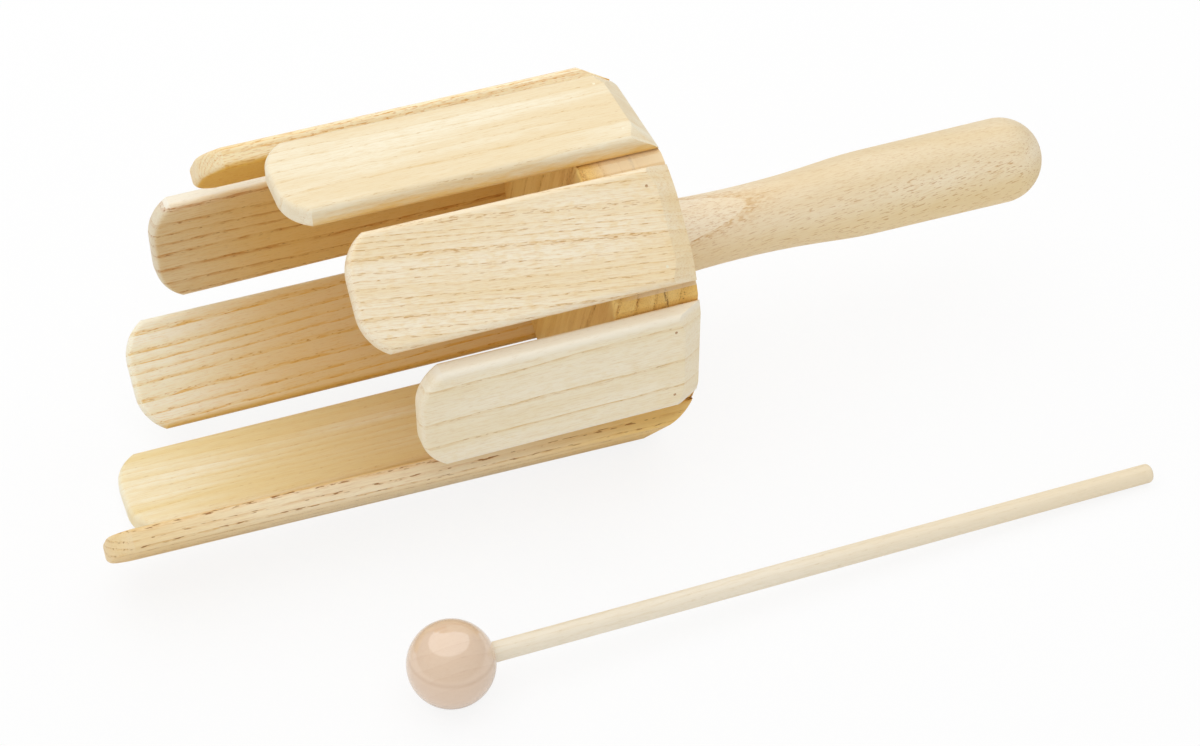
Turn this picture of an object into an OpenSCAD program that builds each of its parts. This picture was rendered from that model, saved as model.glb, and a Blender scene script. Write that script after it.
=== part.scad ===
// Hand-held multi tone block with its mallet.
// Eight flat wooden tone bars of stepped length sit round an octagonal hub and form an open drum.
// A turned handle is glued in the back of the hub. The mallet lies beside the drum: its head is
// stirred round inside the bars, or strikes them one at a time.
// The drum lies along X with the handle towards +X, on the flat of its second bar. The origin is
// on that flat, straight below the middle of the hub's front face.

/* [Drum] */
// Width of the drum across two opposite bars
drum_w = 148; // [136:1:180]
// Thickness of the hub along the drum
hub_len = 34.5; // [30:0.5:45]
// Depth taken off the eight corners of the hub
hub_ease = 0.8; // [0.2:0.1:1.6]
// Radius on the front rim of the hub's corners
hub_rim = 2; // [0.5:0.1:3]

/* [Tone bars] */
// Width of a tone bar
bar_w = 46.5; // [36:0.5:52]
// Thickness of a tone bar
bar_t = 9; // [7:0.5:12]
// Radius on the long edges and round the front end
bar_edge = 2.5; // [1:0.1:3.2]
// Radius of the two arcs that shape the front end
end_arc = 19.5; // [18:0.5:26]
// Straight part of the front end between the arcs
end_flat = 13; // [8:0.5:18]
// Length of the bevel on the rear end
bevel_len = 8.5; // [3:0.1:9]
// Depth of the bevel on the rear end
bevel_depth = 4.4; // [1:0.1:6.4]
// Depth of the bevel on the sixth bar
bevel_6_depth = 8.2; // [1:0.1:8.4]
// Depth of the bevel on the eighth bar
bevel_8_depth = 5.8; // [1:0.1:6.4]
// Diameter that the bars' rear corners are turned to
rear_d = 141; // [136:0.5:150]
// Length of the turned corners along the bars
rear_run = 11; // [8:0.5:14]
// Radius that the first bar's rear end is sanded to
round_r = 30; // [24:0.5:36]
// Length of the first bar's rounded rear end
round_run = 11.5; // [8:0.1:11.5]
// Angle at which the rounding leaves the outer face
round_tilt = 22; // [12:0.5:22]

/* [Bar lengths] */
// Lowest note, front underside
bar_1_len = 238.5; // [150:0.5:280]
// Second note, underside
bar_2_len = 223.5; // [150:0.5:260]
// Third note, rear underside
bar_3_len = 206.5; // [110:0.5:240]
// Fourth note, back
bar_4_len = 187.5; // [100:0.5:220]
// Fifth note, upper back
bar_5_len = 169.5; // [90:0.5:200]
// Sixth note, top
bar_6_len = 149; // [85:0.5:180]
// Seventh note, upper front
bar_7_len = 133.5; // [80:0.5:160]
// Highest note, front
bar_8_len = 116.5; // [75:0.5:140]

/* [Set of the bars] */
// Roll of the first bar on its seat, out of true
bar_1_lean = -3.6; // [-4:0.1:4]
// Slope of the first bar towards the drum's axis
bar_1_toe = 1.1; // [0:0.1:1.2]
// Roll of the fourth bar on its seat, out of true
bar_4_lean = -1.9; // [-4:0.1:4]
// Slope of the fourth bar towards the drum's axis
bar_4_toe = 1; // [0:0.1:1.2]
// Slope of the fifth bar towards the drum's axis
bar_5_toe = 0.5; // [0:0.1:1.2]

/* [Brads] */
// Diameter of a brad
brad_d = 1.2; // [1:0.1:2]
// Length of a brad
brad_len = 25; // [16:1:32]
// Distance of the brads from the rear end
brad_inset = 12.5; // [10:0.5:18]
// Distance between the two brads of a bar
brad_gap = 32; // [20:1:36]

/* [Handle] */
// Length of the handle behind the hub
handle_len = 186; // [160:1:220]
// Diameter at the domed end
grip_d = 36.8; // [32:0.2:42]
// Diameter where the grip begins
grip_start_d = 36; // [32:0.2:42]
// Distance from the hub to where the grip begins
grip_at = 108; // [95:1:120]
// Diameter of the waist
waist_d = 30; // [24:0.2:31]
// Distance from the hub to the waist
waist_at = 45; // [35:1:55]
// Radius of the waist's hollow
waist_arc = 430; // [300:10:500]
// Diameter of the tenon in the hub
tenon_d = 22; // [16:1:26]
// Length of the tenon
tenon_len = 26; // [18:1:28]

/* [Mallet] */
// Diameter of the mallet head
head_d = 34; // [26:1:38]
// Diameter of the stick
stick_d = 8; // [6:0.5:10]
// Length of the whole mallet
mallet_len = 323; // [240:1:360]
// Depth of the stick's hole in the head
socket = 26; // [18:1:30]
// Radius on the end of the stick
tip_ease = 1.5; // [0.5:0.1:2]
// Place of the head along the drum
head_x = -95; // [-120:1:-60]
// Place of the head in front of the drum
head_y = -142; // [-180:1:-120]
// Turn of the mallet on the surface
mallet_turn = 1.7; // [0:0.1:5]

/* [Hidden] */

$fn = 96;
fine = 720;
lap = 1;
bars = 8;
step = 360 / bars;
bar_lens = [bar_1_len, bar_2_len, bar_3_len, bar_4_len, bar_5_len, bar_6_len, bar_7_len, bar_8_len];
bar_leans = [bar_1_lean, 0, 0, bar_4_lean, 0, 0, 0, 0];
bar_toes = [bar_1_toe, 0, 0, bar_4_toe, bar_5_toe, 0, 0, 0];
bevel_depths = [for (k = [1:bars]) k == 6 ? bevel_6_depth : k == 8 ? bevel_8_depth : bevel_depth];
drum_r = drum_w / 2;
hub_flat = drum_r - bar_t;
hub_corner = hub_flat / cos(step / 2);
bar_corner = norm([drum_r, bar_w / 2 - bar_edge]);
bore_r = tenon_d / 2;

// The handle's waist and swell are two arcs that meet with one tangent.
swell_run = grip_at - waist_at;
swell_rise = (grip_start_d - waist_d) / 2;
swell_arc = (pow(swell_rise, 2) + pow(swell_run, 2)) / (2 * swell_rise) - waist_arc;
swell_at = waist_at + swell_run * waist_arc / (waist_arc + swell_arc);
dome_at = handle_len - grip_d / 2;

// The mallet rests on its head and on the rounded end of its stick.
head_r = head_d / 2;
stick_r = stick_d / 2;
reach = mallet_len - head_r;
socket_end = head_r - socket;
rest_run = reach - tip_ease;
rest_side = stick_r - tip_ease;
rest_drop = head_r - tip_ease;
mallet_dip = asin(rest_drop / norm([rest_run, rest_side])) - atan2(rest_side, rest_run);

// Puts what is drawn round the X axis on the drum's axis.
module on_axis() {
    translate([0, 0, drum_r])
        children();
}

// Puts a bar, drawn flat with its inner face at z = 0, on its side of the hub.
// A bar with a toe is tipped about its middle: its front end goes in and its seat on the hub out.
module on_side(k) {
    middle = hub_len - bar_lens[k - 1] / 2;
    on_axis()
        rotate([step * (k + 2), 0, 0])
            translate([middle, 0, hub_flat])
                rotate([bar_leans[k - 1], -bar_toes[k - 1], 0])
                    translate([-middle, 0, 0])
                        children();
}

// Turns a profile drawn as [radius, distance along X] round the X axis.
module turned() {
    rotate([0, 90, 0])
        rotate_extrude()
            children();
}

// Rectangle with round corners, its lower left corner at the origin.
module round_rect(w, h, r) {
    translate([r, 0])
        square([w - 2 * r, h]);
    translate([0, r])
        square([w, h - 2 * r]);
    for (x = [r, w - r], y = [r, h - r])
        translate([x, y])
            circle(r);
}

// A bar's plank with round long edges, as it comes off the moulder.
module plank(len) {
    translate([hub_len - len - lap, -bar_w / 2, 0])
        rotate([90, 0, 90])
            linear_extrude(len + lap)
                round_rect(bar_w, bar_t, bar_edge);
}

// Half outline of a disc or a rod with round rims.
module rim_profile(r, h, edge) {
    intersection() {
        translate([-r, 0])
            round_rect(2 * r, h, edge);
        square([r, h]);
    }
}

// The outline of the front end: two discs, a straight piece between them and the plank behind.
module front_end(len) {
    tip = hub_len - len;
    for (side = [-1, 1])
        translate([tip + end_arc, side * end_flat / 2, 0])
            rotate_extrude()
                rim_profile(end_arc, bar_t, bar_edge);
    translate([tip, end_flat / 2, 0])
        rotate([90, 0, 0])
            linear_extrude(end_flat)
                round_rect(2 * end_arc, bar_t, bar_edge);
    translate([tip + end_arc, -end_flat / 2 - end_arc, 0])
        cube([len - end_arc + lap, end_flat + 2 * end_arc, bar_t]);
}

// Wedge that the sander takes off the outer face at the rear end.
module rear_bevel(depth) {
    translate([hub_len, bar_w / 2 + lap, bar_t])
        rotate([90, 0, 0])
            linear_extrude(bar_w + 2 * lap)
                polygon([[-bevel_len, 0], [bevel_len, -2 * depth], [bevel_len, lap], [-bevel_len, lap]]);
}

// What the sander takes off when it rounds the rear end of the first bar.
module rear_rounding() {
    translate([hub_len - round_run, bar_w / 2 + lap, bar_t])
        rotate([90, 0, 0])
            linear_extrude(bar_w + 2 * lap)
                difference() {
                    translate([-lap, -bar_t - lap])
                        square([round_run + 2 * lap, bar_t + 2 * lap]);
                    translate([-round_r * sin(round_tilt), -round_r * cos(round_tilt)])
                        circle(round_r, $fn = fine);
                }
}

// All that a lathe leaves of the drum when it turns the rear corners of the bars to a cone.
module rear_turning() {
    clear_r = drum_r + bar_t;
    clear_run = rear_run * (clear_r - rear_d / 2) / (bar_corner - rear_d / 2);
    front = hub_len - max(bar_lens) - bar_t;
    on_axis()
        turned()
            polygon([[0, front], [clear_r, front], [clear_r, hub_len - clear_run], [rear_d / 2, hub_len],
                [0, hub_len]]);
}

// The two brads of a bar, also used as their holes.
module brad_pair() {
    for (side = [-1, 1])
        translate([hub_len - brad_inset, side * brad_gap / 2, bar_t - brad_len])
            cylinder(d = brad_d, h = brad_len, $fn = 24);
}

// A bar on its side of the hub, less what is taken off its rear end.
module seated_bar(k) {
    on_side(k)
        difference() {
            intersection() {
                plank(bar_lens[k - 1]);
                front_end(bar_lens[k - 1]);
            }
            brad_pair();
            children();
        }
}

module tone_bar(k) {
    intersection() {
        seated_bar(k)
            rear_bevel(bevel_depths[k - 1]);
        rear_turning();
    }
}

module tone_bar_1() {
    color("burlywood")
        seated_bar(1)
            rear_rounding();
}

module tone_bar_2() {
    color("wheat")
        tone_bar(2);
}

module tone_bar_3() {
    color("burlywood")
        tone_bar(3);
}

module tone_bar_4() {
    color("burlywood")
        tone_bar(4);
}

module tone_bar_5() {
    color("wheat")
        tone_bar(5);
}

module tone_bar_6() {
    color("wheat")
        tone_bar(6);
}

module tone_bar_7() {
    color("wheat")
        tone_bar(7);
}

module tone_bar_8() {
    color("wheat")
        tone_bar(8);
}

// Half outline of the blank that the hub's flats are sawn from, round at its front rim only.
module blank_profile() {
    blank_r = hub_corner - hub_ease;
    intersection() {
        rim_profile(blank_r, hub_len + hub_rim, hub_rim);
        square([blank_r, hub_len]);
    }
}

// Octagonal block with a flat under each bar, a blind hole for the handle's tenon and the brads' holes.
module hub() {
    color("peru")
        difference() {
            on_axis()
                turned()
                    blank_profile();
            for (k = [1:bars])
                on_side(k) {
                    translate([-lap, -drum_r, 0])
                        cube([hub_len + 2 * lap, drum_w, drum_r]);
                    brad_pair();
                }
            on_axis()
                translate([hub_len - tenon_len, 0, 0])
                    rotate([0, 90, 0])
                        cylinder(r = bore_r, h = tenon_len + lap);
        }
}

module brads() {
    color("dimgray")
        for (k = [1:bars])
            on_side(k)
                brad_pair();
}

// Half outline of the handle: tenon, waist, swell, grip and dome.
module handle_profile() {
    translate([0, -tenon_len])
        square([bore_r, tenon_len]);
    difference() {
        square([grip_d, swell_at]);
        translate([waist_d / 2 + waist_arc, waist_at])
            circle(waist_arc, $fn = fine);
    }
    intersection() {
        translate([0, swell_at])
            square([grip_d, grip_at - swell_at]);
        translate([grip_start_d / 2 - swell_arc, grip_at])
            circle(swell_arc, $fn = fine);
    }
    polygon([[0, grip_at], [grip_start_d / 2, grip_at], [grip_d / 2, dome_at], [0, dome_at]]);
    intersection() {
        translate([0, dome_at])
            circle(grip_d / 2);
        translate([0, dome_at])
            square(grip_d);
    }
}

module handle() {
    color("tan")
        on_axis()
            translate([hub_len, 0, 0])
                turned()
                    handle_profile();
}

// Lays the mallet, drawn along X with the middle of its head at the origin, on the surface.
module laid() {
    translate([head_x, head_y, head_r])
        rotate([0, mallet_dip, mallet_turn])
            children();
}

module mallet_head() {
    color("rosybrown")
        laid()
            difference() {
                sphere(head_r);
                translate([socket_end, 0, 0])
                    rotate([0, 90, 0])
                        cylinder(r = stick_r, h = socket + lap);
            }
}

module mallet_stick() {
    color("cornsilk")
        laid()
            translate([socket_end, 0, 0])
                turned()
                    rim_profile(stick_r, reach - socket_end, tip_ease);
}

hub();
tone_bar_1();
tone_bar_2();
tone_bar_3();
tone_bar_4();
tone_bar_5();
tone_bar_6();
tone_bar_7();
tone_bar_8();
brads();
handle();
mallet_head();
mallet_stick();
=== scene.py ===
# %% [markdown]
# # A multi tone block and its mallet
# This hand instrument is an open drum of eight wooden bars round an octagonal hub, on a turned
# handle, with a ball-headed mallet beside it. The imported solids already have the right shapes, so
# this lesson keeps them and is about wood: how growth rings, vessels, fibres, sanding and lacquer
# are built up in shader nodes, and how a plain studio shows them.

# %% Load the frame
import math

import bmesh
import bpy
from mathutils import Color, Matrix, Vector


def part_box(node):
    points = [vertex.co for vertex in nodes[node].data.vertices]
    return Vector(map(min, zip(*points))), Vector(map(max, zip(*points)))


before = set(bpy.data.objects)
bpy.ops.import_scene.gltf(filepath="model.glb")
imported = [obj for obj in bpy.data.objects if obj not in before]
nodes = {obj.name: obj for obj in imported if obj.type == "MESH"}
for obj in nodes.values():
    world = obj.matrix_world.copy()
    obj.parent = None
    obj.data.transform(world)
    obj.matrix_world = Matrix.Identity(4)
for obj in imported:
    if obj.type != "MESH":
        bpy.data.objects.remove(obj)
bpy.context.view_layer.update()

# %% [markdown]
# ## Camera
# The photograph looks down on the drum from its front left with a long lens. Eight bars of known
# spacing gave enough corners to work the place of the camera out, so it is simply put there and
# pointed along the direction that was found. There is no shift and no blur.

# %% Camera
CAMERA_AT = Vector((-0.26727, -0.75058, 0.71634))
CAMERA_LOOKS = Vector((0.2672, 0.7016, -0.6607))
LENS_MM = 75
SENSOR_MM = 36
DRUM_AXIS = Vector((0.0, 0.0, 0.074))

camera_data = bpy.data.cameras.new("camera")
camera_data.lens = LENS_MM
camera_data.sensor_width = SENSOR_MM
camera = bpy.data.objects.new("camera", camera_data)
camera.location = CAMERA_AT
camera.rotation_euler = CAMERA_LOOKS.to_track_quat("-Z", "Y").to_euler()
bpy.context.scene.collection.objects.link(camera)
bpy.context.scene.camera = camera
bpy.context.scene.view_settings.view_transform = "Standard"
print("camera", round((camera.location - DRUM_AXIS).length, 3), "m from the drum")

# %% [markdown]
# ## Wires
# A material is a web of nodes, and maths written as a web is hard to read. This small class wraps
# a node's output so that ordinary Python expressions such as `1 - mask` add the Math nodes.
# Everything else, from a noise to a shader, comes from its one method `node`.


# %% Wires
class Wire:
    """A value on its way through a material."""

    def __init__(self, tree, socket=None):
        self.tree = tree
        self.socket = socket

    def node(self, kind, settings=None, sockets=None, out=0):
        made = self.tree.nodes.new(kind)
        for name, value in (settings or {}).items():
            setattr(made, name, value)
        for name, value in (sockets or {}).items():
            if isinstance(value, Wire):
                self.tree.links.new(value.socket, made.inputs[name])
            else:
                made.inputs[name].default_value = value
        return Wire(self.tree, made.outputs[out])

    def math(self, operation, *values):
        sockets = dict(enumerate(values))
        return self.node("ShaderNodeMath", {"operation": operation}, sockets)

    def __add__(self, other):
        return self.math("ADD", self, other)

    def __radd__(self, other):
        return self.math("ADD", other, self)

    def __sub__(self, other):
        return self.math("SUBTRACT", self, other)

    def __rsub__(self, other):
        return self.math("SUBTRACT", other, self)

    def __mul__(self, other):
        return self.math("MULTIPLY", self, other)

    def __rmul__(self, other):
        return self.math("MULTIPLY", other, self)

    def __truediv__(self, other):
        return self.math("DIVIDE", self, other)

    def __abs__(self):
        return self.math("ABSOLUTE", self)


print("wires are ready")

# %% [markdown]
# ## Masks and paint
# Nearly every mark on this wood is a mask, a value from 0 to 1 that says where a colour is laid on
# the one below it. `rise` makes a mask with a soft border and `paint` lays the colour. `streaks` is
# a noise drawn out along the grain, which fibres, vessels and bands are all made of.

# %% Masks and paint
MIX_MASK, MIX_UNDER, MIX_OVER = 0, 6, 7
MIX_COLOUR = 2
SCREEN_WHITE = 255


def rise(value, low, high):
    """A mask that goes smoothly from 0 at low to 1 at high."""
    sockets = {"Value": value, "From Min": low, "From Max": high}
    return value.node("ShaderNodeMapRange", {"interpolation_type": "SMOOTHSTEP"}, sockets)


def paint(mask, under, over):
    """The colour over, laid on the colour under where the mask is 1."""
    sockets = {MIX_MASK: mask, MIX_UNDER: under, MIX_OVER: over}
    return mask.node("ShaderNodeMix", {"data_type": "RGBA"}, sockets, out=MIX_COLOUR)


def streaks(at, length, width, detail=1.0, roughness=0.5):
    """Noise drawn out along the grain: length and width of one streak in millimetres."""
    squeeze = (1 / length, 1 / width, 1 / width)
    drawn = at.node("ShaderNodeVectorMath", {"operation": "MULTIPLY"}, {0: at, 1: squeeze})
    sockets = {"Vector": drawn, "Scale": 1.0, "Detail": detail, "Roughness": roughness}
    return at.node("ShaderNodeTexNoise", {"normalize": True}, sockets)


def axis(vector, name):
    """One coordinate of a vector: X, Y or Z."""
    return vector.node("ShaderNodeSeparateXYZ", None, {"Vector": vector}, out=name)


def dot(vector, direction):
    """How far a vector goes along a direction."""
    sockets = {0: vector, 1: direction}
    return vector.node("ShaderNodeVectorMath", {"operation": "DOT_PRODUCT"}, sockets, out="Value")


def tone(red, green, blue):
    """A colour from its screen values of 0 to 255."""
    screen = Color((red / SCREEN_WHITE, green / SCREEN_WHITE, blue / SCREEN_WHITE))
    return (*screen.from_srgb_to_scene_linear(), 1.0)


print("masks, paint and streaks are ready, and mid grey is", round(tone(128, 128, 128)[0], 3))

# %% [markdown]
# ## Growth rings
# A tree grows one ring a year round its pith, so a ring is close to a cylinder, and the distance
# from the pith divided by the width of a ring counts the years. Slow noise makes the rings wander
# as the trunk does. Each year also gets a vigour of its own, because no two summers are alike.

# %% Growth rings
RING_WANDER = (150, 26)
RING_RIPPLE = (14, 3)
RIPPLE_SHARE = 0.3
YEARS_ALIKE = 2.3
PACE_SHARE = 1.3


def growth_rings(stem, ring, sway, uneven):
    """How far a point is into its ring, from 0 to 1, and the ring's own vigour."""
    across = stem.node("ShaderNodeVectorMath", {"operation": "MULTIPLY"}, {0: stem, 1: (0, 1, 1)})
    radius = across.node("ShaderNodeVectorMath", {"operation": "LENGTH"}, {0: across}, out="Value")
    wander = (streaks(stem, *RING_WANDER) - 0.5) * (2 * sway)
    ripple = (streaks(stem, *RING_RIPPLE) - 0.5) * (RIPPLE_SHARE * sway)
    age = (radius + wander + ripple) / ring
    years = {"W": age / YEARS_ALIKE, "Scale": 1.0, "Detail": 0.0}
    pace = age.node("ShaderNodeTexNoise", {"noise_dimensions": "1D"}, years)
    rings = age + pace * (PACE_SHARE * uneven)
    number = rings.math("FLOOR", rings)
    vigour = number.node("ShaderNodeTexWhiteNoise", {"noise_dimensions": "1D"}, {"W": number})
    return rings.math("FRACT", rings), 1 - uneven * (1 - vigour)


print("growth rings wander once in about", RING_WANDER[0], "mm of plank")

# %% [markdown]
# ## Lines and pores
# In this wood each year starts with a row of wide vessels, which the saw lays open as a thin dark
# line. The line is broken into dashes along the grain, and it is weaker in a poor year. Single
# pores are short open tubes, most of them along the lines and a few astray. Both are kept as masks
# of where the dark is, so that colour, gloss and bump can all follow them.

# %% Lines and pores
LINE_CORE = 0.1
LINE_ONSET = 0.2
DASH_GRAIN = (1.1, 2.0, 0.6)
DASH_SPAN = (0.4, 0.62)
UNBROKEN = 0.15
WEAKEST_YEAR = 0.2
PORE_RIM = 0.06
PORE_LINE_SPAN = (0.1, 0.6)


def ring_lines(stem, depth, vigour, line_width, dash):
    """Where a ring starts, and its dashed line. The depth into the ring is in millimetres."""
    start = (1 - rise(depth, LINE_CORE, line_width)) * rise(depth, 0.0, LINE_ONSET)
    broken = rise(streaks(stem, dash, *DASH_GRAIN), *DASH_SPAN)
    strength = WEAKEST_YEAR + (1 - WEAKEST_YEAR) * vigour
    return start, start * (UNBROKEN + (1 - UNBROKEN) * broken) * strength


def open_pores(stem, start, pore, above, stray):
    """Short tubes where their noise is above a level, many along the lines and a few astray."""
    holes = rise(streaks(stem, *pore), above, above + PORE_RIM)
    return holes * (stray + (1 - stray) * rise(start, *PORE_LINE_SPAN))


print("lines are at their darkest", LINE_CORE, "to", LINE_ONSET, "mm into a ring")

# %% [markdown]
# ## Wood
# The real bars are a pale wood with open vessels under a thin satin lacquer. A picture of wood
# wrapped round a bar gives itself away at the ends, so each piece is cut from a solid pattern
# instead: growth rings round a pith that lies somewhere in or beside the piece, and vessels that
# are short tubes along the grain. Wherever the bar is cut or bevelled, the pattern shows the right
# lines, dashes or dots. A finish, which differs from piece to piece, then goes over the wood; on the
# bars, the hub and the handle it also holds painted shade and painted light.

# %% Wood
MM = (0.001, 0.001, 0.001)
RING_FADE = 0.35
FIBRE = (8, 0.5, 3.0, 0.65)
BROAD = (110, 11, 2.0)
BROAD_SPAN = (0.32, 0.68)
CLOUD = (3.4, 1.5, 2.0)
SPECK_SPAN = (0.45, 0.75)
BROAD_ROUGH, PORE_ROUGH = 0.12, 0.25
FIBRE_LIFT, CLOUD_LIFT, LINE_SINK = 0.3, 0.25, 0.4
BUMP = {"Strength": 0.2, "Distance": 0.0003}
LACQUER_SHINE = 0.42


def turned_by(vector, location, rotation, scale=(1, 1, 1)):
    """The vector as seen from a place that is moved, turned and scaled."""
    sockets = {"Vector": vector, "Location": location, "Rotation": rotation, "Scale": scale}
    return vector.node("ShaderNodeMapping", {"vector_type": "TEXTURE"}, sockets)


def wood(name, pale, deep, line, dark, at, lie, pith, ring, finish_and_painted_light, dive=0.0, skew=0.0, sway=4.0,
         uneven=1.0, line_width=1.2, line_depth=0.8, dash=9.0, pore=(3.0, 0.5), pore_above=0.62,
         pore_depth=0.6, stray=0.2, band=0.5, fleck=0.35, mottle=0.3, gloss=0.42):
    """A material cut from a solid block of wood, with its shader. Lengths are in millimetres."""
    material = bpy.data.materials.new(name)
    material.use_nodes = True
    tree = material.node_tree
    shader = tree.nodes["Principled BSDF"]

    # From metres on the object to millimetres on the plank, then to the tree it was cut from.
    place = Wire(tree).node("ShaderNodeTexCoord", out="Object")
    plank = turned_by(place, at, lie, MM)
    stem = turned_by(plank, pith, (0, dive, skew))
    inside, vigour = growth_rings(stem, ring, sway, uneven)
    start, lines = ring_lines(stem, inside * ring, vigour, line_width, dash)
    pores = open_pores(stem, start, pore, pore_above, stray)
    fade = (1 - inside) * (1 - inside) * RING_FADE
    fibres = streaks(stem, *FIBRE)
    broad = streaks(stem, *BROAD)
    cloud = streaks(stem, *CLOUD)

    # The bands and the fading rings come first, then the finish with any painted shade and light, and
    # the dark marks last.
    colour = paint(rise(broad, *BROAD_SPAN) * band + fade, pale, deep)
    colour = paint(rise(cloud, *SPECK_SPAN) * mottle, colour, deep)
    colour = paint(rise(fibres, *SPECK_SPAN) * fleck, colour, line)
    colour, kept = finish_and_painted_light(place, plank, colour)
    line_mask = lines * line_depth * kept
    pore_mask = pores * pore_depth * kept
    colour = paint(line_mask, colour, line)
    colour = paint(pore_mask, colour, dark)
    tree.links.new(colour.socket, shader.inputs["Base Color"])

    rough = gloss + broad * BROAD_ROUGH + pore_mask * PORE_ROUGH
    tree.links.new(rough.socket, shader.inputs["Roughness"])
    height = fibres * FIBRE_LIFT + cloud * CLOUD_LIFT - pore_mask - line_mask * LINE_SINK
    bump = height.node("ShaderNodeBump", None, {**BUMP, "Height": height})
    tree.links.new(bump.socket, shader.inputs["Normal"])
    shader.inputs["Specular IOR Level"].default_value = LACQUER_SHINE
    return material


print("wood is ready, with fibres", FIBRE[0], "mm long and bands", BROAD[1], "mm wide")

# %% [markdown]
# ## Bar finish and painted shade
# Sanding leaves the long edges and the two ends of a bar paler, and takes part of the lines off
# the ends. Where these edges and ends face the light, the paler colour is also a painted highlight.
# The inner face is painted honey as painted shade of the drum's inside, on some bars darker towards
# the hub, and its border is ragged along the fibres. On one bar this painted shade reaches over a
# whole side face. Some bars have aged towards their ends, and on two bars one long edge, the lip,
# is painted honey as painted shade. The settings say how much of each a bar has.

# %% Bar finish and painted shade
# The pale sanded colour, also a painted highlight on the edges and front ends that face the light.
SANDED_AND_LIT = tone(249, 242, 225)
# HONEY is painted shade on the inner faces, towards the hub and on the lips, and also the colour of aged
# ends.
HONEY = tone(236, 191, 90)
BAR_HALF = 23.25
EDGE_RUN, LIP_RUN = 4, 3
BEVEL_FACES, FRONT_FACES = (0.2, 0.4), (0.2, 0.7)
BEVEL_SANDED, FRONT_SANDED_AND_LIT = 0.1, 0.25
BEVEL_HIDES, FRONT_HIDES = 0.6, 0.3
# The ragged border of the painted shade on the inner face, and where it starts.
SHADE_BORDER_GRAIN = (9, 1.5, 3.0, 0.6)
SHADE_BORDER_FROM = 0.3
# Painted shade deepens towards the hub over this run, in millimetres along the bar.
HUB_SHADE_RUN = (-100, -30)
AGES = (20, 110)
# The inner honey, the deeper honey near the hub, how far it reaches and the lip are painted shade; the
# paler long edges are sanding and a painted highlight; aged ends are honey.
BAR_FINISHES_AND_SHADE = {
    1: dict(inner=0.2, hub_shade=0.3, lit_sanded_edge=0.3, shade_reach=0.8, aged=(0.4, 0.75)),
    2: dict(inner=0.0, hub_shade=0.0, lit_sanded_edge=0.2, lip=0.6),
    3: dict(inner=0.0, hub_shade=0.55, lit_sanded_edge=0.2, lip=0.9),
    4: dict(inner=0.15, hub_shade=0.52, lit_sanded_edge=0.8),
    5: dict(inner=1.0, hub_shade=0.0, lit_sanded_edge=0.05, aged=(0.4, 0.0)),
    6: dict(inner=0.5, hub_shade=0.3, lit_sanded_edge=0.1, shade_reach=8.6),
    7: dict(inner=0.75, hub_shade=0.0, lit_sanded_edge=0.2, aged=(0.0, 0.35)),
    8: dict(inner=0.75, hub_shade=0.0, lit_sanded_edge=0.8, aged=(0.0, 0.2)),
}


def normals(place):
    """Which way the surface faces, on the object's own axes."""
    return place.node("ShaderNodeTexCoord", out="Normal")


def bar_finish_and_shade(inner, hub_shade, lit_sanded_edge, shade_reach=2.5, aged=(0.0, 0.0), lip=0.0):
    """Paler sanded edges and ends, partly a painted highlight, and honey painted shade on the inner face
    and the lip; honey towards aged ends.
    """
    def finish_and_painted_light(place, plank, colour):
        along, side, out = axis(plank, "X"), axis(plank, "Y"), axis(plank, "Z")
        edge = rise(abs(side), BAR_HALF - EDGE_RUN, BAR_HALF)
        rearward = axis(normals(place), "X")
        bevel = rise(rearward, *BEVEL_FACES)
        front = rise(0 - rearward, *FRONT_FACES)
        # Paler edges and front ends: sanding, and a painted highlight where they face the light.
        sanded_and_lit = edge * lit_sanded_edge + bevel * BEVEL_SANDED + front * FRONT_SANDED_AND_LIT
        colour = paint(sanded_and_lit, colour, SANDED_AND_LIT)
        # Painted shade of the drum's inside: honey on the inner face, with a ragged border.
        border = out + (streaks(plank, *SHADE_BORDER_GRAIN) - 0.5) * shade_reach
        within = (1 - rise(border, SHADE_BORDER_FROM, shade_reach)) * (1 - bevel) * (1 - front)
        # The inner face gets honey painted shade, on some bars more of it towards the hub.
        colour = paint(within * (inner + rise(along, *HUB_SHADE_RUN) * hub_shade), colour, HONEY)
        ends = rise(0 - along, *AGES) * aged[0] + rise(along, *AGES) * aged[1]
        colour = paint(ends, colour, HONEY)
        # The lip: painted shade in honey along one long edge.
        colour = paint(rise(side, BAR_HALF - LIP_RUN, BAR_HALF) * lip, colour, HONEY)
        return colour, 1 - bevel * BEVEL_HIDES - front * FRONT_HIDES
    return finish_and_painted_light


print("finishes for", len(BAR_FINISHES_AND_SHADE), "bars,", 2 * BAR_HALF, "mm wide")

# %% [markdown]
# ## Bar seats
# Each bar needs its wood laid along it, so the pattern is moved to the middle of the bar's inner
# face and turned as the bar is. The bars stand every 45 degrees round the drum. The real drum was
# made by hand: a few bars are rolled on their seats or slope towards the axis, as their solids do.

# %% Bar seats
STEP = math.radians(45)
FIRST_STEPS = 2
SEAT = 0.065
LEANS = {1: math.radians(-3.6), 4: math.radians(-1.9)}
TOES = {1: math.radians(1.1), 4: math.radians(1.0), 5: math.radians(0.5)}


def bar_seat(number):
    """The middle of a bar's inner face, and how the bar is turned there."""
    low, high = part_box(f"tone_bar_{number}")
    round_drum = Matrix.Rotation((number + FIRST_STEPS) * STEP, 3, "X")
    toed = Matrix.Rotation(-TOES.get(number, 0), 3, "Y")
    leant = Matrix.Rotation(LEANS.get(number, 0), 3, "X")
    middle = Vector(((low.x + high.x) / 2, 0, 0))
    seat = DRUM_AXIS + middle + round_drum @ Vector((0, 0, SEAT))
    return seat, (round_drum @ toed @ leant).to_euler()


print("the first bar's seat is at", [round(c, 3) for c in bar_seat(1)[0]])

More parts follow.
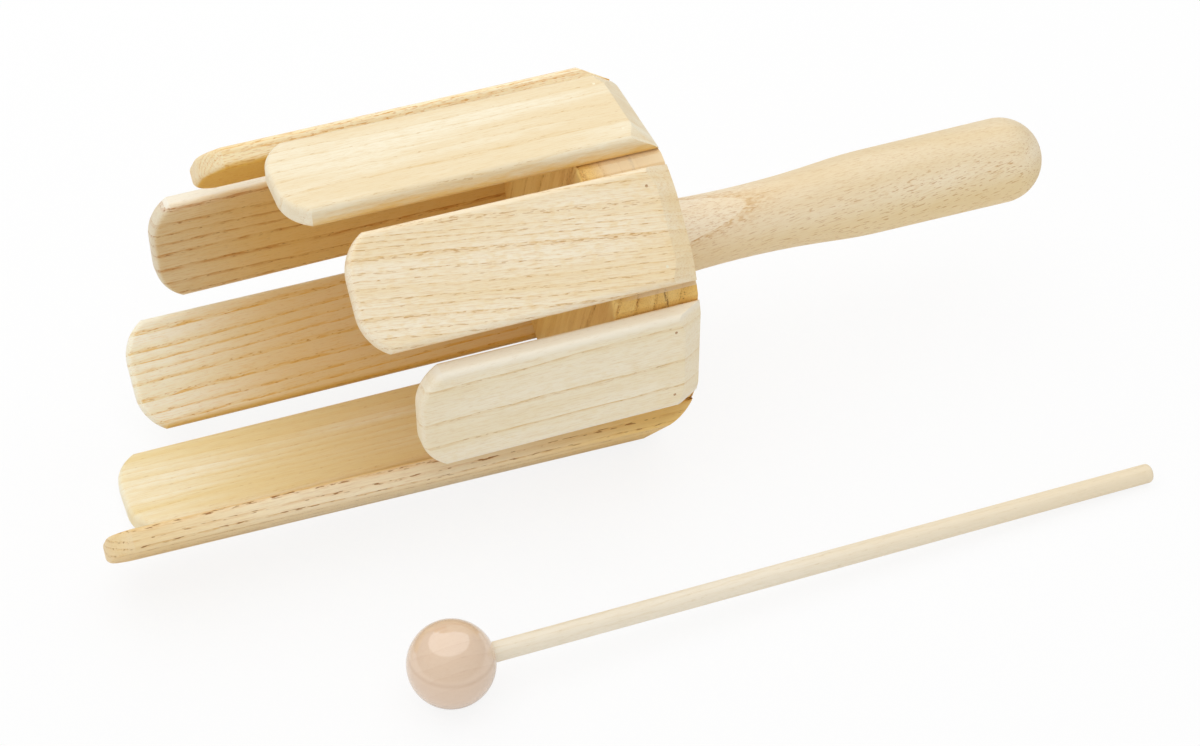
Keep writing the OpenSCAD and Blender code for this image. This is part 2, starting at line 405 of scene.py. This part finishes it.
# %% [markdown]
# ## Bar woods
# The eight bars are sorted by note, not by colour, so the drum is a little patchwork: cream next
# to beige next to honey. Each bar has its own pith, ring width and colours, because no two came
# from one plank. The bars with strong lines, the third and fourth, are cut so that the rings stand
# across their width. The seventh is full of short brown vessels that run a little askew.

# %% Bar woods
BAR_WOODS = {
    1: dict(pale=tone(249, 234, 198), deep=tone(237, 209, 156), line=tone(208, 152, 72),
            dark=tone(154, 100, 40), pith=(0, 60, -145.6), ring=3.2, sway=2.0, line_width=1.4, dash=6,
            pore=(4.0, 0.6), pore_above=0.58, pore_depth=0.9, stray=0.05, band=0.8, fleck=0.55),
    2: dict(pale=tone(254, 248, 224), deep=tone(244, 223, 166), line=tone(228, 190, 114),
            dark=tone(194, 146, 78), pith=(300, 172, 6), ring=4.0, skew=0.02, line_depth=0.25,
            pore_depth=0.3, band=0.9),
    3: dict(pale=tone(254, 250, 232), deep=tone(239, 222, 152), line=tone(232, 179, 72),
            dark=tone(204, 144, 52), pith=(-200, 190, 10), ring=5.6, skew=-0.02, sway=3.0, uneven=0.45,
            line_width=2.2, line_depth=0.9, pore_depth=0.75, band=0.2, fleck=0.4, mottle=0.1),
    4: dict(pale=tone(229, 216, 185), deep=tone(215, 194, 152), line=tone(192, 125, 38),
            dark=tone(152, 90, 24), pith=(150, -210, 8), ring=6.0, skew=0.01, sway=3.0, uneven=0.45,
            line_width=2.2, line_depth=0.9, dash=8, pore_depth=0.75, fleck=0.4, mottle=0.15),
    5: dict(pale=tone(255, 247, 216), deep=tone(248, 224, 166), line=tone(230, 168, 78),
            dark=tone(212, 150, 66), pith=(80, -70, -60), ring=2.8, sway=3.0, line_width=1.3,
            line_depth=0.9, dash=4, pore=(3.0, 0.6), pore_above=0.57, pore_depth=0.7, stray=0.5,
            fleck=0.65, mottle=0.5),
    6: dict(pale=tone(246, 236, 209), deep=tone(238, 219, 180), line=tone(226, 192, 130),
            dark=tone(200, 156, 92), pith=(0, -150, 6), ring=7.5, sway=6.0, line_width=1.9,
            line_depth=0.75, dash=22, pore_depth=0.5, band=1.0, fleck=0.5),
    7: dict(pale=tone(251, 239, 213), deep=tone(243, 220, 175), line=tone(223, 177, 102),
            dark=tone(194, 144, 80), pith=(0, 140, 8), ring=3.7, skew=-0.12, line_width=1.3,
            line_depth=0.65, dash=4, pore=(3.4, 0.45), pore_above=0.57, pore_depth=0.65, stray=0.12,
            band=0.6, fleck=0.5, mottle=0.7),
    8: dict(pale=tone(252, 242, 218), deep=tone(244, 227, 188), line=tone(222, 184, 114),
            dark=tone(190, 146, 84), pith=(0, 67, 5), ring=13.5, dive=0.02, uneven=0.3, line_width=1.8,
            pore_depth=0.5, mottle=0.5),
}
ring_widths = [look["ring"] for look in BAR_WOODS.values()]
print("woods for", len(BAR_WOODS), "bars, with rings of", min(ring_widths), "to", max(ring_widths), "mm")

# %% [markdown]
# ## Tone bars
# A imported piece already has its shape, so dressing it only means swapping its material. The loop
# joins what the cells above have set for each bar: the seat, the finish with its painted shade and
# highlight, and the wood.


# %% Tone bars
def dress(node, material):
    """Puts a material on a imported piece."""
    slots = nodes[node].data.materials
    slots.clear()
    slots.append(material)
    print("dressed", node, "in", material.name, "with", len(material.node_tree.nodes), "nodes")


for number, look in BAR_WOODS.items():
    node = f"tone_bar_{number}"
    at, lie = bar_seat(number)
    finish_and_painted_light = bar_finish_and_shade(**BAR_FINISHES_AND_SHADE[number])
    dress(node, wood(node + "_wood", at=at, lie=lie, finish_and_painted_light=finish_and_painted_light, **look))

# %% [markdown]
# ## Hub
# The hub is a thick octagon cut from a plank, so its grain runs across the drum and not along it:
# its rings lie in layers from front to back. The corners between the bars show it, one as end
# grain and one as amber side grain with dark lines across. The sawn front face is striped along
# the grain and painted paler as painted light. The same solid wood does all of it once the plank is
# stood on its edge.

# %% Hub
GRAIN_TURN = math.radians(112.5)
GRAIN = Vector((0, math.cos(GRAIN_TURN), math.sin(GRAIN_TURN)))
FRONT_TO_BACK = Vector((1, 0, 0))
END_GRAIN = tone(238, 216, 180)
END_FACES, END_BEHIND = (0.8, 0.95), (0.002, 0.014)
END_PALE, END_HIDES = 0.8, 1.15
# The paler colour of the sawn front face, partly painted light.
SAWN_AND_LIT_FACE = tone(248, 216, 138)
SAWN_FACES = (0.6, 0.9)
SAWN_AND_LIT_PALE, STRIPE_PALE = 0.35, 0.5
STRIPE, STRIPE_SPAN = (60, 4, 2.0), (0.4, 0.62)
DRY_YEAR = tone(118, 70, 24)
DRY_YEAR_AT, DRY_YEAR_RUN = 0.0215, (0.0002, 0.0011)
DRY_PATCH, DRY_PATCH_SPAN = (4, 0.9, 2.0), (0.35, 0.6)
DRY_DARK = 0.85
hub_lie = Matrix((GRAIN, FRONT_TO_BACK.cross(GRAIN), FRONT_TO_BACK)).transposed().to_euler()


def hub_finish_and_light(place, plank, colour):
    """One dark ring of a dry year, hidden on end grain, and a paler striped front face that is partly
    painted light.
    """
    depth = axis(place, "X")
    dry = 1 - rise(abs(depth - DRY_YEAR_AT), *DRY_YEAR_RUN)
    dry = dry * rise(streaks(plank, *DRY_PATCH), *DRY_PATCH_SPAN)
    facing = normals(place)
    end = rise(abs(dot(facing, GRAIN)), *END_FACES) * rise(depth, *END_BEHIND) * END_PALE
    stripes = rise(streaks(plank, *STRIPE), *STRIPE_SPAN)
    # Front face: paler stripes along the grain, and paler overall as painted light.
    front = rise(0 - axis(facing, "X"), *SAWN_FACES) * (SAWN_AND_LIT_PALE + stripes * STRIPE_PALE)
    colour = paint(end, paint(dry * DRY_DARK, colour, DRY_YEAR), END_GRAIN)
    return paint(front, colour, SAWN_AND_LIT_FACE), 1 - end * END_HIDES - front


hub_wood = wood("hub_wood", pale=tone(242, 206, 128), deep=tone(228, 178, 84), line=tone(176, 112, 40),
                dark=tone(112, 64, 20), at=DRUM_AXIS, lie=hub_lie, pith=(0, 12, -66.9), ring=9.0,
                finish_and_painted_light=hub_finish_and_light, sway=3.0, line_width=2.6, line_depth=1.0, dash=4, pore_depth=0.8)
dress("hub", hub_wood)

# %% [markdown]
# ## Handle
# The handle is turned from a block of plantation wood with short brown pores. Where the lathe cuts
# through a ring at a shallow angle, the lighter and darker layers meet in a feathered edge, as
# near the neck here. The rings dive through the handle a little for that. The grip is a little
# yellower, the underside is painted yellower as painted shade, and the upper side of the grip is
# painted a shade darker as painted shade, with its pores partly worn away.

# %% Handle
# The yellower grip colour, also laid on the underside as painted shade.
GRIP_AND_UNDER_SHADE = tone(234, 205, 142)
GRIP_RUN, GRIP_TINT = (70, 150), 0.12
SHADED_UNDER_FACES, UNDER_SHADE_TINT = (-0.1, 0.75), 0.5
# A darker colour laid on the upper side as painted shade.
TOP_SHADE = tone(214, 188, 138)
WORN_AND_SHADED_FACES, WORN_AND_SHADED_RUN = (0.5, 0.95), (60, 120)
TOP_SHADE_TINT, HELD_HIDES = 0.36, 0.6
NECK_SHOWS = 0.65
HANDLE_LIE = (math.radians(18), 0, 0)


def handle_finish_and_shade(place, plank, colour):
    """A yellower grip, and painted shade that makes the underside yellower and the top darker. The neck
    and the upper side show fewer pores.
    """
    along = axis(plank, "X")
    upward = axis(normals(place), "Z")
    grip = rise(along, *GRIP_RUN)
    # The upper side: painted shade there, and worn pores.
    worn_and_shaded_top = rise(upward, *WORN_AND_SHADED_FACES) * rise(along, *WORN_AND_SHADED_RUN)
    under = 1 - rise(upward, *SHADED_UNDER_FACES)
    # The underside gets painted shade in the grip colour.
    colour = paint(grip * GRIP_TINT + under * UNDER_SHADE_TINT, colour, GRIP_AND_UNDER_SHADE)
    kept = NECK_SHOWS + grip * (1 - NECK_SHOWS) - worn_and_shaded_top * HELD_HIDES
    return paint(worn_and_shaded_top * TOP_SHADE_TINT, colour, TOP_SHADE), kept


handle_wood = wood("handle_wood", pale=tone(251, 240, 217), deep=tone(241, 222, 187),
                   line=tone(210, 163, 90), dark=tone(188, 128, 48), at=DRUM_AXIS, lie=HANDLE_LIE,
                   pith=(72, 0, 75.3), ring=60.0, finish_and_painted_light=handle_finish_and_shade, dive=-0.16, sway=2.5, uneven=0.0,
                   line_width=4.0, line_depth=0.95, dash=3, pore=(4.5, 0.55), pore_above=0.61,
                   pore_depth=0.7, stray=0.75, band=0.6, fleck=0.45)
dress("handle", handle_wood)

# %% [markdown]
# ## Mallet head
# The ball is dipped in gloss lacquer, so it needs a clear coat with a sharp reflection over a
# faint pinkish grain. Its pattern lies along the stick, which leans on the ball and is turned a
# little. A faint darker line runs round it at a set height, with pinker colour below it.

# %% Mallet head
HEAD_AT = (-0.095, -0.142, 0.017)
MALLET_DIP = math.radians(2.45)
MALLET_TURN = math.radians(1.7)
MALLET_LIE = (0, MALLET_DIP, MALLET_TURN)
BALL_LINE_LEVEL = 5.0
BALL_LINE_HALF, BALL_LINE_TINT = 1.6, 0.25
BALL_LINE_BROWN = tone(186, 146, 114)
PINKER = tone(221, 193, 169)
PINK_RUN, PINK_TINT = (-2.5, 0.5), 0.4
COAT_IOR = 1.7


def ball_finish(place, plank, colour):
    """A faint darker line round the ball at a set height, with pinker colour below it."""
    # A faint darker line at a set height on the ball, pinker below it.
    level = axis(plank, "Z") - BALL_LINE_LEVEL
    ball_line = 1 - rise(abs(level), 0.0, BALL_LINE_HALF)
    below = 1 - rise(level, *PINK_RUN)
    return paint(ball_line * BALL_LINE_TINT, paint(below * PINK_TINT, colour, PINKER), BALL_LINE_BROWN), 1


ball_wood = wood("ball_wood", pale=tone(233, 206, 179), deep=tone(228, 197, 168),
                 line=tone(212, 178, 146), dark=tone(198, 162, 132), at=HEAD_AT, lie=MALLET_LIE,
                 pith=(0, 40, 30), ring=6.0, finish_and_painted_light=ball_finish, line_depth=0.12, pore_depth=0.1,
                 band=0.25, fleck=0.12, gloss=0.02)
ball_shader = ball_wood.node_tree.nodes["Principled BSDF"]
ball_shader.inputs["Coat Weight"].default_value = 1.0
ball_shader.inputs["Coat Roughness"].default_value = 0.0
ball_shader.inputs["Coat IOR"].default_value = COAT_IOR
dress("mallet_head", ball_wood)

# %% [markdown]
# ## Mallet stick
# The stick is a plain dowel with a fine fibre, sanded and left nearly matt. The end that is held
# has taken on a little colour, which comes in slowly along its length.

# %% Mallet stick
HANDLED = tone(240, 220, 182)
HANDLED_RUN, HANDLED_TINT = (90, 320), 0.6


def stick_finish(place, plank, colour):
    """The end that is held is a little warmer than the end at the ball."""
    return paint(rise(axis(plank, "X"), *HANDLED_RUN) * HANDLED_TINT, colour, HANDLED), 1


stick_wood = wood("dowel_wood", pale=tone(246, 236, 216), deep=tone(241, 228, 203),
                  line=tone(228, 208, 174), dark=tone(214, 190, 150), at=HEAD_AT, lie=MALLET_LIE,
                  pith=(0, 18, 26), ring=3.0, finish_and_painted_light=stick_finish, line_depth=0.5, pore_depth=0.3,
                  gloss=0.55)
dress("mallet_stick", stick_wood)

# %% [markdown]
# ## Brads
# Only the heads of the brads show, as small brownish dots set flush in the bars. They are dull
# steel under a film of lacquer, a little rusty in patches. On the top bar and in one row below it
# they are filled over with paste in the colour of the wood, so that they can hardly be seen.

# %% Brads
BRIGHT_STEEL = tone(206, 172, 130)
RUST = tone(178, 134, 92)
RUST_PATCH = {"Scale": 1800.0, "Detail": 2.0}
RUST_SPAN = (0.4, 0.65)
STEEL_ROUGH, RUST_ROUGH = 0.4, 0.3
STEEL_METAL, RUST_METAL = 0.5, 0.3
FILLED_ABOVE, FILLED_FADE = 0.144, 0.002
FILLED_ROW, ROW_RUN = 0.115, (0.004, 0.006)

brad_steel = bpy.data.materials.new("brad_steel")
brad_steel.use_nodes = True
brad_tree = brad_steel.node_tree
brad_shader = brad_tree.nodes["Principled BSDF"]
brad_place = Wire(brad_tree).node("ShaderNodeTexCoord", out="Object")
patches = brad_place.node("ShaderNodeTexNoise", None, {"Vector": brad_place, **RUST_PATCH})
rusty = rise(patches, *RUST_SPAN)
height = axis(brad_place, "Z")
in_row = 1 - rise(abs(height - FILLED_ROW), *ROW_RUN)
filled = rise(height, FILLED_ABOVE, FILLED_ABOVE + FILLED_FADE) + in_row
brad_colour = paint(filled, paint(rusty, BRIGHT_STEEL, RUST), BAR_WOODS[6]["pale"])
brad_rough = STEEL_ROUGH + patches * RUST_ROUGH
brad_metal = STEEL_METAL - rusty * RUST_METAL
brad_tree.links.new(brad_colour.socket, brad_shader.inputs["Base Color"])
brad_tree.links.new(brad_rough.socket, brad_shader.inputs["Roughness"])
brad_tree.links.new(brad_metal.socket, brad_shader.inputs["Metallic"])
dress("brads", brad_steel)

# %% [markdown]
# ## Floor
# A white floor throws a lot of light back up at the drum. To the camera most of it is plain white,
# and in reflections a little of it, but the rest is still a painted surface, so the soft shadow
# under the drum stays. It lies a hair below the drum, so that the two never share a face.

# %% Floor
FLOOR_HALF = 4.0
FLOOR_DROP = 0.0003
FLOOR_PAINT = (0.92, 0.92, 0.92, 1)
FLOOR_WHITE = 0.86
FLOOR_MIRRORED = 0.2
WHITE = (1, 1, 1, 1)


def ray(wire, kind):
    """Whether the light being traced is a ray of this kind."""
    return wire.node("ShaderNodeLightPath", out=kind)


floor_mesh = bpy.data.meshes.new("floor")
floor_form = bmesh.new()
bmesh.ops.create_grid(floor_form, x_segments=1, y_segments=1, size=FLOOR_HALF)
bmesh.ops.translate(floor_form, verts=floor_form.verts, vec=(0, 0, -FLOOR_DROP))
floor_form.to_mesh(floor_mesh)
floor_form.free()
floor = bpy.data.objects.new("floor", floor_mesh)
bpy.context.scene.collection.objects.link(floor)

floor_paint = bpy.data.materials.new("floor_paint")
floor_paint.use_nodes = True
floor_tree = floor_paint.node_tree
floor_tree.nodes.clear()
coat = Wire(floor_tree)
matt = coat.node("ShaderNodeBsdfDiffuse", None, {"Color": FLOOR_PAINT})
white = coat.node("ShaderNodeEmission", None, {"Color": WHITE, "Strength": 1.0})
seen = ray(coat, "Is Camera Ray") * FLOOR_WHITE
seen = seen.math("MAXIMUM", seen, ray(coat, "Is Glossy Ray") * FLOOR_MIRRORED)
seen = seen.math("MAXIMUM", seen, ray(coat, "Is Transmission Ray") * FLOOR_WHITE)
blend = coat.node("ShaderNodeMixShader", None, {0: seen, 1: matt, 2: white})
floor_out = floor_tree.nodes.new("ShaderNodeOutputMaterial")
floor_tree.links.new(blend.socket, floor_out.inputs["Surface"])
floor_mesh.materials.append(floor_paint)
print("floor", 2 * FLOOR_HALF, "m wide")

# %% [markdown]
# ## Room and soft box
# The photograph was lit by one wide soft box overhead, a little behind the drum, in a bright room.
# The room is brighter towards the front left, as if a window were there, but not in reflections.
# Behind the floor it is plain white to the camera, which adds no light to the wood.

# %% Room and soft box
ROOM_BRIGHT = (-0.62, -0.75, 0.23)
ROOM_LEVEL = 0.51
ROOM_SLOPE = 0.35
BOX_ACROSS = 2.5
BOX_WATTS = 14.7
BOX_AT = Vector((0.02, 0.36, 1.16))
BOX_AIM = Vector((0, 0, 0.07))

world = bpy.data.worlds.new("room")
world.use_nodes = True
room = Wire(world.node_tree)
bright_side = dot(room.node("ShaderNodeTexCoord", out="Generated"), ROOM_BRIGHT)
room_level = ROOM_LEVEL + bright_side * ROOM_SLOPE * (1 - ray(room, "Is Glossy Ray"))
direct = ray(room, "Is Camera Ray")
backdrop = direct.math("MAXIMUM", direct, ray(room, "Is Transmission Ray"))
room_level = room_level + backdrop * (1 - room_level)
background = world.node_tree.nodes["Background"]
background.inputs["Color"].default_value = WHITE
world.node_tree.links.new(room_level.socket, background.inputs["Strength"])
bpy.context.scene.world = world

box_light = bpy.data.lights.new("soft_box", "AREA")
box_light.shape = "DISK"
box_light.size = BOX_ACROSS
box_light.energy = BOX_WATTS
soft_box = bpy.data.objects.new("soft_box", box_light)
soft_box.location = BOX_AT
soft_box.rotation_euler = (BOX_AIM - BOX_AT).to_track_quat("-Z", "Y").to_euler()
bpy.context.scene.collection.objects.link(soft_box)
print("room with a soft box", box_light.size, "m across")
